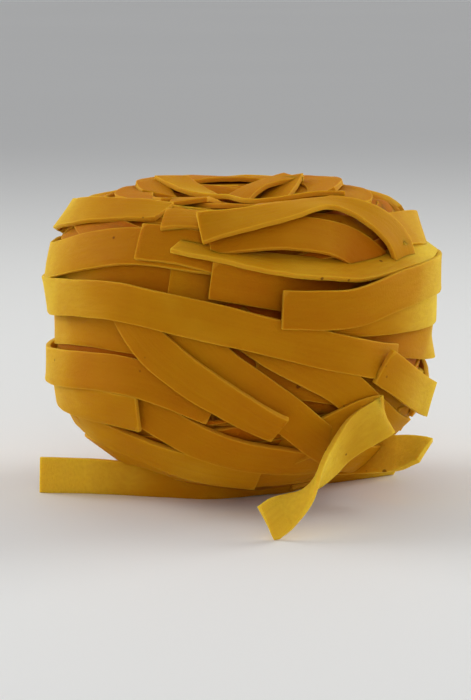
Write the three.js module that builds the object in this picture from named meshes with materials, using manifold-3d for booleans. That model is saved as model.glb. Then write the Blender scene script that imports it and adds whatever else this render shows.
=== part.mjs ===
// A nest of dried tagliatelle: flat egg strands wound by hand into a squat ball, with a few loose ends.
//
// Millimetres, +Z up. The origin is the middle of the flat spot that the nest stands on, and the loose
// ends trail towards -Y. Azimuth 0 is -Y, and it grows towards +X.
//
// The nest is one solid. A round body stands for the strands deep inside, and the strands that show are
// laid on it one after another, each one resting on those below it, and fused to them.

import * as THREE from "three";
import Module from "manifold-3d";
import { mergeVertices } from "three/addons/utils/BufferGeometryUtils.js";

const wasm = await Module();
wasm.setup();

// The outline of the winding: a squat ball with a dimple on top, which the outer strands reach.
const NEST_RADIUS = 35.2;
const CENTRE_HEIGHT = 27;
const TOP = { reach: 29.5, squareness: 4.5 };
const BOTTOM = { reach: 28.2, squareness: 2 };
const EYE_DEPTH = 11;
const EYE_RADIUS = 17;
const HIGHEST_BELT = 0.995; // share of the reach that a belt may climb to
const WIDEST_ARC = 0.97; // and share of the radius that an arc may swing out to

// The body under the strands that show. Where they pile up it is sunk deeper, so that the pile still
// ends at the outline.
const BODY_DEPTH = 4.5; // before it is sunk
const LEAST_DEPTH = 1;
const BODY_SEGMENTS = 28;
const SINK_COLUMNS = 24; // of the table of depths, round the axis
const SINK_ROWS = 13; // and from pole to pole

// A strand of tagliatelle.
const STRAND_WIDTH = 6.6;
const STRAND_THICKNESS = 1.05;
const BITE = 0.5; // how deep a strand is sunk into what it rests on, so that they fuse

// How a strand is laid.
const LAYING_STEP = 2;
const LINE_PIECES = 24; // straight pieces to each stop of a smooth line
const LINE_TENSION = 0.5;
const ARC_STOP_TURN = 24; // degrees from one stop of an arc to the next
const FEELERS = [-1, -0.6, -0.2, 0.2, 0.6, 1]; // where a strand feels what it rests on, in half widths
const BELT_STEPS = 5; // laying steps to each step of the mesh, round the nest
const ARC_STEPS = 3; // over the top and under the foot
const BRIDGE_PASSES = 60;
const AIMING_ROUNDS = 3;
const FREE_STANDING = 1; // how far a strand may stand outside the outline before it is pressed in,
const PRESSING = 0.5; // and the share of the rest that it is pressed in by
const SPRINGING = 5; // laying steps over which a lifted end springs away
const TILTED_SINK = 3; // how deep the middle of a tilted strand is pushed in
const RELIEF_CELLS = 120;
const TOUCH_SPACING = 0.45;
const FINEST_DETAIL = 0.1;
const FLOOR_SIZE = 200;

const CENTRE = new THREE.Vector3(0, 0, CENTRE_HEIGHT);
const { degToRad, lerp } = THREE.MathUtils;

// Strands wound round the body, from the first laid to the last. Each stop is an azimuth in degrees
// and a height in millimetres. A lift is how far an end springs away from the nest.
const BELTS = {
  low_back: { stops: [[70, 12], [110, 10], [150, 11], [190, 10], [230, 12], [265, 12]] },
  low_left: { stops: [[-150, 8], [-110, 7], [-75, 8], [-45, 8], [-15, 6], [20, 6], [50, 9]] },
  mid_front: { stops: [[5, 25], [20, 24.5], [40, 22], [70, 19], [100, 18], [135, 18]] },
  under_belt: { stops: [[-175, 29], [-120, 28.5], [-86, 30], [-54, 32.2], [-38, 32.3], [-20, 31.5]] },
  left_shelf: { stops: [[-150, 41], [-100, 40], [-54, 41.6], [-38, 42.2], [-20, 42.2]] },
  right_shelf: { stops: [[-21, 42.4], [-13, 42], [-2, 41.4], [8, 40.7]] },
  belly_left: {
    stops: [
      [-140, 19], [-100, 17], [-67, 14.1], [-48, 12.5], [-30, 10], [-12, 7.5], [8, 6],
    ],
  },
  sweep_low: {
    stops: [
      [-52, 23], [-40, 21.5], [-26, 18], [-16, 14.8], [-3, 11.8], [14, 9.8], [32, 9], [52, 10],
    ],
  },
  left_stub: { stops: [[-135, 21], [-95, 19.5], [-62, 18.8], [-43, 19], [-30, 18.5]], lift: [0, 0.8] },
  slant_right: {
    stops: [
      [-2, 35], [11, 30.6], [21, 27.2], [31, 23.3], [43, 18.3], [62, 13], [95, 10],
    ],
  },
  slant_inner: {
    stops: [
      [-25, 37.5], [-15, 33.3], [-6, 28.5], [3, 23.9], [13, 19], [21, 15.1], [31, 11.6], [50, 8],
      [80, 7],
    ],
  },
  left_lower_belt: {
    stops: [[-190, 23], [-130, 22.5], [-81, 23.3], [-44, 25.4], [-26, 24.5], [-16, 22.5], [-8, 20]],
  },
  upper_belt: {
    stops: [
      [-210, 38], [-150, 39.5], [-120, 41], [-85, 42], [-66, 44.1], [-47, 46.9], [-30, 48],
      [-14, 47], [2, 45.4],
    ],
  },
  right_back_rim: { stops: [[60, 45], [90, 43], [120, 42], [150, 43], [185, 45], [215, 46]] },
  back_low: { stops: [[75, 17], [110, 20], [145, 23.5], [180, 24], [215, 21], [250, 17]] },
  back_falling: { stops: [[120, 44], [145, 39], [170, 34], [195, 29.5], [225, 25], [250, 22]] },
  back_rim: { stops: [[95, 49], [130, 51.5], [165, 52.5], [200, 52], [235, 50.5], [262, 49]] },
  folded_end: { stops: [[-31, 48.8], [-22, 48.6], [-12, 47.6], [-4, 46.6]], lift: [0.3, 0] },
  left_rim: { stops: [[-150, 46], [-115, 48.5], [-88, 50.5], [-66, 52.5], [-48, 53.3], [-30, 53.5]] },
  rim_end: { stops: [[-26, 52.6], [-15, 52.8], [-5, 52.2], [4, 51.2]], lift: [0.5, 0] },
  leaf: { stops: [[-9, 49.4], [2, 50.2], [12, 50.6], [24, 50], [37, 47.7], [45, 44.9], [52, 42]] },
  mid_stub: { stops: [[-8, 42.7], [2, 41.6], [12, 40.3], [22, 39.2], [32, 38.4]], lift: [0.5, 0] },
  right_hook: { stops: [[58, 49.5], [70, 49.2], [91, 47.5], [120, 44], [155, 42]], lift: [0.6, 0] },
  crown_belt: {
    stops: [
      [-12, 51.5], [2, 52.9], [12, 53.8], [24, 54.6], [37, 54.8], [48, 53], [56, 48.5], [60, 44],
      [63, 39.5],
    ],
    lift: [0.8, 0],
    steps: 3,
  },
  shelf_edge: {
    stops: [
      [-19, 48.9], [-8, 48.1], [2, 46.7], [12, 45.5], [22, 44.8], [34, 43.8], [47, 44.3], [69, 45.3],
      [90, 45.6], [120, 45], [160, 46],
    ],
    lift: [0.4, 0],
    tilt: -60,
    steps: 4,
  },
  low_right_belt: {
    stops: [
      [22, 33], [40, 31.9], [56, 30.1], [86, 27.4], [125, 26], [180, 27], [230, 28],
    ],
  },
  mid_right_belt: {
    stops: [
      [12, 36.5], [36, 35.2], [62, 34.7], [86, 34.3], [130, 34], [180, 33], [215, 31],
    ],
  },
  slant_outer: {
    stops: [
      [-37, 39], [-30, 34.3], [-25, 30.8], [-19, 27.9], [-11, 24.4], [-3, 21.4], [5, 18.8],
      [12, 16.4],
    ],
    lift: [0, 0.4],
  },
  main_belt: {
    stops: [
      [-255, 33], [-200, 33.5], [-150, 34.5], [-110, 35.3], [-77, 36.1], [-49, 37.9],
      [-37, 38.3], [-16, 36.6], [2, 34.1], [20, 31.3], [41, 27.7], [53, 26],
    ],
  },
  top_stub: {
    stops: [
      [11, 37.9], [22, 37.5], [33, 37.4], [46, 39.2], [68, 40.2], [88, 40], [130, 39], [180, 41],
      [220, 42],
    ],
    lift: [0.4, 0],
  },
  right_stub: { stops: [[43, 26.5], [52, 23.5], [61, 20.8], [70, 18.5], [77, 17.2]], lift: [0, 1.5] },
};

// Strands over the top and under the foot, as arcs seen from above: the azimuth and distance of the
// arc's centre from the axis, its radius, and the bearings from that centre where it starts and ends.
const TOP_ARCS = [
  { centre: [30, 3], radius: 8.5, bearings: [-40, 250] },
  { centre: [200, 4], radius: 12, bearings: [120, 380] },
  { centre: [300, 5], radius: 16.5, bearings: [60, 310] },
  { centre: [60, 6], radius: 17, bearings: [-70, 170] },
  { centre: [180, 6], radius: 18, bearings: [70, 290] },
  { centre: [230, 22], radius: 27, bearings: [2, 96] },
  { centre: [60, 24], radius: 31, bearings: [198, 282] },
  { centre: [150, 18], radius: 23, bearings: [-88, 28] },
];
const FOOT_ARCS = [{ centre: [160, 4], radius: 13, bearings: [30, 300] }];

// Loose ends, which hang or stand clear of the winding: the middle of the strand, and the direction
// of its width there.
const LOOSE_ENDS = {
  // stands on its edge under the foot and trails off to the left
  long_tail: {
    steps: 3,
    stops: [
      { at: [30, 6, 2.4], across: [0.4, -0.4, 0.8] },
      { at: [19, -2, 2], across: [0.5, -0.6, 0.6] },
      { at: [9, -11, 2.4], across: [0.3, -0.6, 0.75] },
      { at: [-3, -15.5, 2.8], across: [0, -0.5, 0.85] },
      { at: [-14, -13.5, 3], across: [0, -0.3, 0.95] },
      { at: [-25, -10.2, 3.2], across: [0, -0.1, 1] },
      { at: [-36.4, -8.6, 3.3], across: [0, 0, 1] },
    ],
  },
  // comes out from under the foot to the right and tips over backwards
  right_tail: {
    steps: 3,
    stops: [
      { at: [8, -8, 6], across: [-0.2, -0.2, 1] },
      { at: [18.2, -12, 7.6], across: [-0.1, 0.1, 1] },
      { at: [27.1, -15.5, 8.6], across: [0, 0.33, 0.94] },
      { at: [33.3, -19, 9.7], across: [0.4, 0.82, 0.39] },
    ],
  },
  // rises to the right, folds back over itself, twists and stands on a corner
  twisted_tail: {
    steps: 1,
    stops: [
      { at: [4, -25, 10], across: [-0.3, -0.4, 0.85] },
      { at: [13, -28, 14.3], across: [-0.35, -0.35, 0.87] },
      { at: [20.5, -27.5, 17.2], across: [-0.4, -0.2, 0.88] },
      { at: [25.4, -25.5, 18], across: [-0.45, 0.05, 0.88] },
      { at: [25.4, -27.5, 17.7], across: [-0.45, 0.05, 0.88] },
      { at: [21.5, -30.5, 15.8], across: [-0.6, -0.3, 0.7] },
      { at: [18, -33, 13], across: [-0.5, -0.75, 0.4] },
      { at: [15.2, -36.3, 10], across: [-0.35, -0.9, 0.2] },
      { at: [12.2, -39.8, 7.3], across: [-0.15, -0.95, -0.1] },
      { at: [8.9, -43, 4.9], across: [0.25, -0.85, -0.4] },
      { at: [4.5, -45, 2.6], across: [0.69, 0, -0.72] },
    ],
  },
};

/** The other leg of a point on a squared-off quarter circle of radius 1. */
function otherLeg(leg, squareness) {
  return (1 - leg ** squareness) ** (1 / squareness);
}

/** How far the outline is from the centre in a direction. */
function outlineReach({ x, y, z }) {
  const level = Math.hypot(x, y);
  const { reach, squareness } = z > 0 ? TOP : BOTTOM;
  const sum = (level / NEST_RADIUS) ** squareness + (Math.abs(z) / reach) ** squareness;
  const distance = sum ** (-1 / squareness);
  const fromAxis = (distance * level) / EYE_RADIUS;
  return z > 0 ? distance - EYE_DEPTH * Math.exp(-fromAxis * fromAxis) : distance;
}

/** How far a point stands outside the outline. */
function standing(point) {
  const arm = point.clone().sub(CENTRE);
  const distance = arm.length();
  return distance - outlineReach(arm.divideScalar(distance));
}

/** The way out of the nest at a point. */
function outwardAt(point) {
  const nudge = 0.05;
  const slope = ["x", "y", "z"].map((axis) => {
    const [ahead, behind] = [point.clone(), point.clone()];
    ahead[axis] += nudge;
    behind[axis] -= nudge;
    return standing(ahead) - standing(behind);
  });
  return new THREE.Vector3(...slope).normalize();
}

/** The direction from the centre to a stop of a belt. */
function beltDirection([azimuth, height]) {
  const rise = height - CENTRE_HEIGHT;
  const { reach, squareness } = rise > 0 ? TOP : BOTTOM;
  const radius = NEST_RADIUS * otherLeg(Math.min(HIGHEST_BELT, Math.abs(rise) / reach), squareness);
  const turn = degToRad(azimuth);
  return new THREE.Vector3(radius * Math.sin(turn), -radius * Math.cos(turn), rise).normalize();
}

/** The directions to an arc over the top (side 1), or under the foot (side -1). */
function arcDirections({ centre: [azimuth, offset], radius, bearings: [from, to] }, side) {
  const { reach, squareness } = side > 0 ? TOP : BOTTOM;
  const stops = Math.ceil(Math.abs(to - from) / ARC_STOP_TURN);
  const turn = degToRad(azimuth);
  return Array.from({ length: stops + 1 }, (_, i) => {
    const bearing = degToRad(lerp(from, to, i / stops));
    const x = offset * Math.sin(turn) + radius * Math.sin(bearing);
    const y = -offset * Math.cos(turn) - radius * Math.cos(bearing);
    const swing = Math.min(WIDEST_ARC, Math.hypot(x, y) / NEST_RADIUS);
    return new THREE.Vector3(x, y, side * reach * otherLeg(swing, squareness)).normalize();
  });
}

/** A table, by azimuth and elevation, of how deep the body lies under the outline. */
class Depths {
  values = new Float64Array(SINK_COLUMNS * SINK_ROWS).fill(BODY_DEPTH);

  /** The four nearest places in the table to a direction, with their shares. */
  static shares({ x, y, z }) {
    const column = ((Math.atan2(y, x) / (2 * Math.PI) + 1) % 1) * SINK_COLUMNS;
    const row = (Math.acos(THREE.MathUtils.clamp(z, -1, 1)) / Math.PI) * (SINK_ROWS - 1);
    const [left, top] = [Math.floor(column) % SINK_COLUMNS, Math.min(SINK_ROWS - 2, Math.floor(row))];
    const [right, u, v] = [(left + 1) % SINK_COLUMNS, column - Math.floor(column), row - top];
    return [
      [top * SINK_COLUMNS + left, (1 - u) * (1 - v)],
      [top * SINK_COLUMNS + right, u * (1 - v)],
      [(top + 1) * SINK_COLUMNS + left, (1 - u) * v],
      [(top + 1) * SINK_COLUMNS + right, u * v],
    ];
  }

  at(direction) {
    return Depths.shares(direction).reduce((sum, [place, share]) => sum + share * this.values[place], 0);
  }

  /** Sinks the body by the smoothed height of what is laid on it above the outline. */
  static under(relief) {
    const [sums, weights] = [0, 0].map(() => new Float64Array(SINK_COLUMNS * SINK_ROWS));
    relief.heights.forEach((height, cell) => {
      for (const [place, share] of Depths.shares(relief.direction(cell))) {
        sums[place] += share * height;
        weights[place] += share;
      }
    });
    const blur = (table) =>
      table.map((_, place) => {
        const [row, column] = [Math.floor(place / SINK_COLUMNS), place % SINK_COLUMNS];
        let sum = 0;
        for (const down of [-1, 0, 1])
          for (const turn of [-1, 0, 1]) {
            const share = (2 - Math.abs(down)) * (2 - Math.abs(turn));
            const near = THREE.MathUtils.clamp(row + down, 0, SINK_ROWS - 1);
            sum += share * table[near * SINK_COLUMNS + ((column + turn + SINK_COLUMNS) % SINK_COLUMNS)];
          }
        return sum;
      });
    const [height, weight] = [blur(sums), blur(weights)];
    const depths = new Depths();
    depths.values = height.map((sum, place) => Math.max(LEAST_DEPTH, BODY_DEPTH + sum / weight[place]));
    return depths;
  }
}

/** Points an even step apart on the smooth line through the stops, with their places along the stops. */
function evenLine(stops, step, place = (point) => point) {
  const curve = new THREE.CatmullRomCurve3(stops, false, "catmullrom", LINE_TENSION);
  const pieces = LINE_PIECES * stops.length;
  const fine = curve.getPoints(pieces).map(place);
  const run = [0];
  for (let i = 1; i < fine.length; i++) {
    run.push(run[i - 1] + fine[i].distanceTo(fine[i - 1]));
  }
  const count = Math.max(3, Math.round(run.at(-1) / step));
  let k = 0;
  return Array.from({ length: count + 1 }, (_, i) => {
    const want = (run.at(-1) * i) / count;
    while (k < run.length - 2 && run[k + 1] < want) {
      k++;
    }
    const share = (want - run[k]) / (run[k + 1] - run[k]);
    return { point: fine[k].clone().lerp(fine[k + 1], share), place: (k + share) / pieces };
  });
}

/** How far the nest so far stands outside the outline, by direction from its centre. */
class Relief {
  constructor(depths) {
    this.heights = new Float64Array(6 * RELIEF_CELLS * RELIEF_CELLS);
    this.heights.forEach((_, cell) => {
      this.heights[cell] = -depths.at(this.direction(cell));
    });
  }

  /** The cell of a cube round the centre that an arm from the centre goes through. */
  cell(arm) {
    const sizes = arm.map(Math.abs);
    const main = sizes.indexOf(Math.max(...sizes));
    const [u, v] = [1, 2].map((turn) => {
      const share = arm[(main + turn) % 3] / sizes[main];
      return Math.min(RELIEF_CELLS - 1, Math.floor(((share + 1) / 2) * RELIEF_CELLS));
    });
    const face = 2 * main + (arm[main] > 0 ? 0 : 1);
    return (face * RELIEF_CELLS + u) * RELIEF_CELLS + v;
  }

  /** The direction to the middle of a cell. */
  direction(cell) {
    const face = Math.floor(cell / RELIEF_CELLS ** 2);
    const main = Math.floor(face / 2);
    const places = [Math.floor(cell / RELIEF_CELLS) % RELIEF_CELLS, cell % RELIEF_CELLS];
    const arm = [0, 0, 0];
    arm[main] = face % 2 ? -1 : 1;
    places.forEach((place, i) => {
      arm[(main + 1 + i) % 3] = (2 * (place + 0.5)) / RELIEF_CELLS - 1;
    });
    return new THREE.Vector3(...arm).normalize();
  }

  /** How far what is laid stands above a point. */
  over(point) {
    return this.heights[this.cell(point.clone().sub(CENTRE).toArray())] - standing(point);
  }

  raise(point) {
    const cell = this.cell(point.clone().sub(CENTRE).toArray());
    this.heights[cell] = Math.max(this.heights[cell], standing(point));
  }
}

const averaged = (values) =>
  values.map((v, i) => (i && i < values.length - 1 ? (values[i - 1] + 2 * v + values[i + 1]) / 4 : v));

/** A stiff line over bumps: it clears each one and bridges the dips between them. */
function bridged(bumps) {
  const wide = bumps.map((_, i) => Math.max(...bumps.slice(Math.max(0, i - 1), i + 2)));
  let line = wide.slice();
  for (let pass = 0; pass < BRIDGE_PASSES; pass++) {
    line = line.map((v, i) =>
      i && i < line.length - 1 ? Math.max(wide[i], (line[i - 1] + line[i + 1]) / 2) : Math.max(wide[i], v),
    );
  }
  return averaged(averaged(line));
}

/** Where a strand along directions from the centre comes to lie on top of the relief. */
function restingStrand(directions, relief) {
  const onOutline = (direction) => {
    const unit = direction.clone().normalize();
    return unit.clone().multiplyScalar(outlineReach(unit)).add(CENTRE);
  };
  const line = evenLine(directions, LAYING_STEP, onOutline);
  const frames = line.map(({ point, place }, i) => {
    const [before, after] = [line[Math.max(i - 1, 0)], line[Math.min(i + 1, line.length - 1)]];
    const along = after.point.clone().sub(before.point).normalize();
    const across = outwardAt(point).cross(along).normalize();
    return { point, place, across, up: along.clone().cross(across) };
  });
  const half = STRAND_WIDTH / 2;
  const bumps = frames.map(({ point, across }) =>
    FEELERS.map((t) => relief.over(point.clone().addScaledVector(across, t * half))),
  );
  const edges = bumps.map((b) => {
    const [left, right] = [Math.max(b[0], b[1]), Math.max(b[4], b[5])];
    const short = Math.max(0, Math.max(b[2], b[3]) - (left + right) / 2);
    return [left + short, right + short];
  });
  const [lefts, rights] = [0, 1].map((side) => bridged(edges.map((edge) => edge[side])));
  return withOutward(
    frames.map(({ point, place, across, up }, i) => ({
      left: point.clone().addScaledVector(across, -half).addScaledVector(up, lefts[i]),
      right: point.clone().addScaledVector(across, half).addScaledVector(up, rights[i]),
      place,
      up,
    })),
  );
}

/** Presses a resting strand in where it stands out too far, then tilts it and lifts its ends. */
function settled(stations, { lift = [0, 0], tilt = 0 } = {}) {
  const last = stations.length - 1;
  const nearEnd = (steps) => Math.max(0, 1 - steps / SPRINGING) ** 2;
  return withOutward(
    stations.map(({ left, right, outward, place, up }, i) => {
      const [near, far] = [left, right].map((corner) => {
        const excess = standing(corner.clone().addScaledVector(outward, STRAND_THICKNESS)) - FREE_STANDING;
        return corner.clone().addScaledVector(up, -PRESSING * Math.max(0, excess));
      });
      const spring = lift[0] * nearEnd(i) + lift[1] * nearEnd(last - i);
      const along = far.clone().sub(near).cross(outward).normalize();
      const middle = near.clone().lerp(far, 0.5).addScaledVector(up, tilt ? -TILTED_SINK : 0);
      for (const corner of [near, far])
        corner.sub(middle).applyAxisAngle(along, degToRad(tilt)).add(middle).addScaledVector(up, spring);
      return { left: near, right: far, place };
    }),
  );
}

/** Winds a strand on so that its middle is at the heights of its stops. */
function windBelt({ stops, lift, tilt }, relief) {
  let heights = stops.map(([, height]) => height);
  let stations;
  for (let round = 0; round < AIMING_ROUNDS; round++) {
    const directions = stops.map(([azimuth], i) => beltDirection([azimuth, heights[i]]));
    stations = restingStrand(directions, relief);
    const result = settled(stations, { lift, tilt });
    heights = heights.map((height, i) => {
      const place = i / (stops.length - 1);
      const away = (station) => Math.abs(station.place - place);
      const nearest = result.reduce((a, b) => (away(b) < away(a) ? b : a));
      const middle = (nearest.left.z + nearest.right.z) / 2 + STRAND_THICKNESS * nearest.outward.z;
      return height + stops[i][1] - middle;
    });
  }
  touch(stations, relief);
  return settled(stations, { lift, tilt });
}

/** Lays an arc over the top or under the foot. */
function layArc(shape, side, relief) {
  const stations = restingStrand(arcDirections(shape, side), relief);
  touch(stations, relief);
  return settled(stations);
}

/** A strand that follows its own stops through the air. */
function freeStrand(stops) {
  const line = evenLine(stops.map(({ at }) => new THREE.Vector3(...at)), LAYING_STEP);
  const turns = stops.map(({ across }) => new THREE.Vector3(...across).normalize());
  const widths = new THREE.CatmullRomCurve3(turns);
  const half = STRAND_WIDTH / 2;
  const stations = line.map(({ point, place }, i) => {
    const [before, after] = [line[Math.max(i - 1, 0)], line[Math.min(i + 1, line.length - 1)]];
    const along = after.point.clone().sub(before.point).normalize();
    const across = widths.getPoint(place);
    across.addScaledVector(along, -across.dot(along)).normalize();
    return {
      left: point.clone().addScaledVector(across, -half),
      right: point.clone().addScaledVector(across, half),
    };
  });
  return withOutward(stations);
}

/** Adds the direction from the strand's lower face to its upper one to each station. */
function withOutward(stations) {
  return stations.map((station, i) => {
    const [before, after] = [stations[Math.max(i - 1, 0)], stations[Math.min(i + 1, stations.length - 1)]];
    const along = after.left.clone().add(after.right).sub(before.left).sub(before.right);
    const outward = along.cross(station.right.clone().sub(station.left)).normalize();
    return { ...station, outward };
  });
}

/** Adds a strand's upper face to the relief. */
function touch(stations, relief) {
  const side = ({ left, right, outward }, t) =>
    left.clone().lerp(right, t).addScaledVector(outward, STRAND_THICKNESS);
  const across = Math.ceil(STRAND_WIDTH / TOUCH_SPACING);
  const along = Math.ceil(LAYING_STEP / TOUCH_SPACING);
  for (let i = 1; i < stations.length; i++)
    for (let a = 0; a < along; a++)
      for (let b = 0; b <= across; b++)
        relief.raise(side(stations[i - 1], b / across).lerp(side(stations[i], b / across), a / along));
}

/** A closed box-section solid through every few stations of a strand. */
function strandSolid({ stations, steps, bite }) {
  const count = Math.max(2, Math.round((stations.length - 1) / steps));
  const kept = Array.from(
    { length: count + 1 },
    (_, i) => stations[Math.round((i * (stations.length - 1)) / count)],
  );
  const corners = kept.flatMap(({ left, right, outward }) => [
    left.clone().addScaledVector(outward, -bite),
    right.clone().addScaledVector(outward, -bite),
    right.clone().addScaledVector(outward, STRAND_THICKNESS),
    left.clone().addScaledVector(outward, STRAND_THICKNESS),
  ]);
  const faces = [0, 2, 1, 0, 3, 2];
  for (let i = 0; i < count; i++)
    for (let k = 0; k < 4; k++) {
      const [a, b] = [4 * i + k, 4 * i + ((k + 1) % 4)];
      faces.push(a, b, b + 4, a, b + 4, a + 4);
    }
  const end = 4 * count;
  faces.push(end, end + 1, end + 2, end, end + 2, end + 3);
  return solidOf(corners.flatMap((p) => p.toArray()), faces);
}

function solidOf(positions, faces) {
  const vertProperties = new Float32Array(positions);
  const triVerts = new Uint32Array(faces);
  return new wasm.Manifold(new wasm.Mesh({ numProp: 3, vertProperties, triVerts }));
}

/** The body, as a sphere whose points are moved out to the body's surface. */
function bodySolid(depths) {
  const sphere = new THREE.SphereGeometry(1, BODY_SEGMENTS, BODY_SEGMENTS / 2).rotateX(Math.PI / 2);
  sphere.deleteAttribute("normal");
  sphere.deleteAttribute("uv");
  const geometry = mergeVertices(sphere);
  const positions = geometry.attributes.position;
  for (let i = 0; i < positions.count; i++) {
    const unit = new THREE.Vector3().fromBufferAttribute(positions, i).normalize();
    const reach = outlineReach(unit) - depths.at(unit);
    positions.setXYZ(i, ...unit.clone().multiplyScalar(reach).add(CENTRE).toArray());
  }
  return solidOf(positions.array, geometry.index.array);
}

/** All that is below the surface that the nest stands on. */
function floorSolid() {
  const box = new THREE.BoxGeometry(FLOOR_SIZE, FLOOR_SIZE, FLOOR_SIZE).translate(0, 0, -FLOOR_SIZE / 2);
  box.deleteAttribute("normal");
  box.deleteAttribute("uv");
  const geometry = mergeVertices(box);
  return solidOf(geometry.attributes.position.array, geometry.index.array);
}

/** Lays every strand, the deepest first. */
function layStrands(relief) {
  const arcs = (shapes, side) =>
    shapes.map((shape) => ({ stations: layArc(shape, side, relief), steps: ARC_STEPS, bite: BITE }));
  return [
    ...arcs(FOOT_ARCS, -1),
    ...arcs(TOP_ARCS, 1),
    ...Object.values(BELTS).map((belt) => ({
      stations: windBelt(belt, relief),
      steps: belt.steps ?? BELT_STEPS,
      bite: BITE,
    })),
    ...Object.values(LOOSE_ENDS).map(({ stops, steps }) => ({
      stations: freeStrand(stops),
      steps,
      bite: 0,
    })),
  ];
}

/** The nest as one closed body: hollows that the fusing sealed are filled, and scraps are dropped. */
function nestSolid() {
  const trial = new Relief(new Depths());
  layStrands(trial);
  const depths = Depths.under(trial);
  const strands = layStrands(new Relief(depths)).map(strandSolid);
  const fused = wasm.Manifold.union([bodySolid(depths), ...strands]).subtract(floorSolid());
  const pieces = fused.simplify(FINEST_DETAIL).decompose();
  return pieces.reduce((a, b) => (b.volume() > a.volume() ? b : a));
}

function meshOf(solid, name, material) {
  const { numProp, vertProperties, triVerts } = solid.getMesh();
  if (numProp !== 3) throw new Error("the solid carries more than positions");
  const geometry = new THREE.BufferGeometry();
  geometry.setAttribute("position", new THREE.BufferAttribute(vertProperties, 3));
  geometry.setIndex(new THREE.BufferAttribute(triVerts, 1));
  geometry.computeVertexNormals();
  const mesh = new THREE.Mesh(geometry, material);
  mesh.name = name;
  return mesh;
}

const pasta = new THREE.MeshStandardMaterial({ color: "#d9a02b", roughness: 0.55, metalness: 0 });

const nest = new THREE.Group();
nest.add(meshOf(nestSolid(), "tagliatelle_nest", pasta));

export default nest;
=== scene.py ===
"""A nest of dried egg tagliatelle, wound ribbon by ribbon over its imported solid."""

import functools
import math

import bmesh
import bpy
import numpy as np
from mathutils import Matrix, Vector


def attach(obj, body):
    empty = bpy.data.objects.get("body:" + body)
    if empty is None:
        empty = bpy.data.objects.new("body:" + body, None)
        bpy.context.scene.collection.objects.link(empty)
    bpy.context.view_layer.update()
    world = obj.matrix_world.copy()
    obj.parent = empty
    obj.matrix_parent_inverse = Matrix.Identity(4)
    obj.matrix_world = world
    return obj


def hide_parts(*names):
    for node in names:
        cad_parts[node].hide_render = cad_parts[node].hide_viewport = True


bl_info = {
    "name": "Tagliatelle Nest",
    "version": (1, 0, 0),
    "blender": (4, 5, 0),
    "location": "3D View > Sidebar > Nest",
    "description": "Winds a nest of dried egg pasta ribbons and stands it on a pale floor",
    "category": "Add Mesh",
}

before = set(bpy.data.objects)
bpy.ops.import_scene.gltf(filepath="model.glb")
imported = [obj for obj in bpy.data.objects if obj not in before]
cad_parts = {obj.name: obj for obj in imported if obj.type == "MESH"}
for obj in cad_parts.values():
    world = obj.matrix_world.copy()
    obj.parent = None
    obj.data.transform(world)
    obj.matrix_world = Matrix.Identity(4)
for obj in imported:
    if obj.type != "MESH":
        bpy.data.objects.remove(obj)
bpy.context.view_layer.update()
NODE = "tagliatelle_nest"
MM = 0.001

# ---------------------------------------------------------------------------------------------
# The winding, in millimetres. Azimuth 0 is -Y and grows towards +X.
# ---------------------------------------------------------------------------------------------

CENTRE = np.array([0.0, 0.0, 27.0])
NEST_RADIUS = 35.2
TOP_REACH, TOP_SQUARENESS = 29.5, 4.5  # how far up the outline goes, and how square it is there
BOTTOM_REACH, BOTTOM_SQUARENESS = 28.2, 2.0
EYE_DEPTH, EYE_RADIUS = 11.0, 17.0  # of the dimple on top
HIGHEST_BELT, WIDEST_ARC = 0.995, 0.97  # as shares of the reach and of the nest's radius
BODY_DEPTH, LEAST_DEPTH = 4.5, 1.0  # of the body under the outline
SINK_COLUMNS, SINK_ROWS = 24, 13  # of the table of the body's depths
SLOPE_NUDGE = 0.05
LAYING_STEP = 2.0
LINE_PIECES = 24  # to each stop, where a line is measured
ARC_STOP_TURN = 24  # degrees
FEELERS = (-1, -0.6, -0.2, 0.2, 0.6, 1)  # shares of half the width, where a ribbon feels its way
BRIDGE_PASSES = 60
AIMING_ROUNDS = 3
FREE_STANDING, PRESSING = 1.0, 0.5  # how far a ribbon may stand out; what share of the rest goes
SPRINGING = 5  # laying steps over which an end lifts off
TILTED_SINK = 3.0
RELIEF_CELLS = 120  # along a side of each face of the cube
TOUCH_SPACING = 0.45

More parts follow.
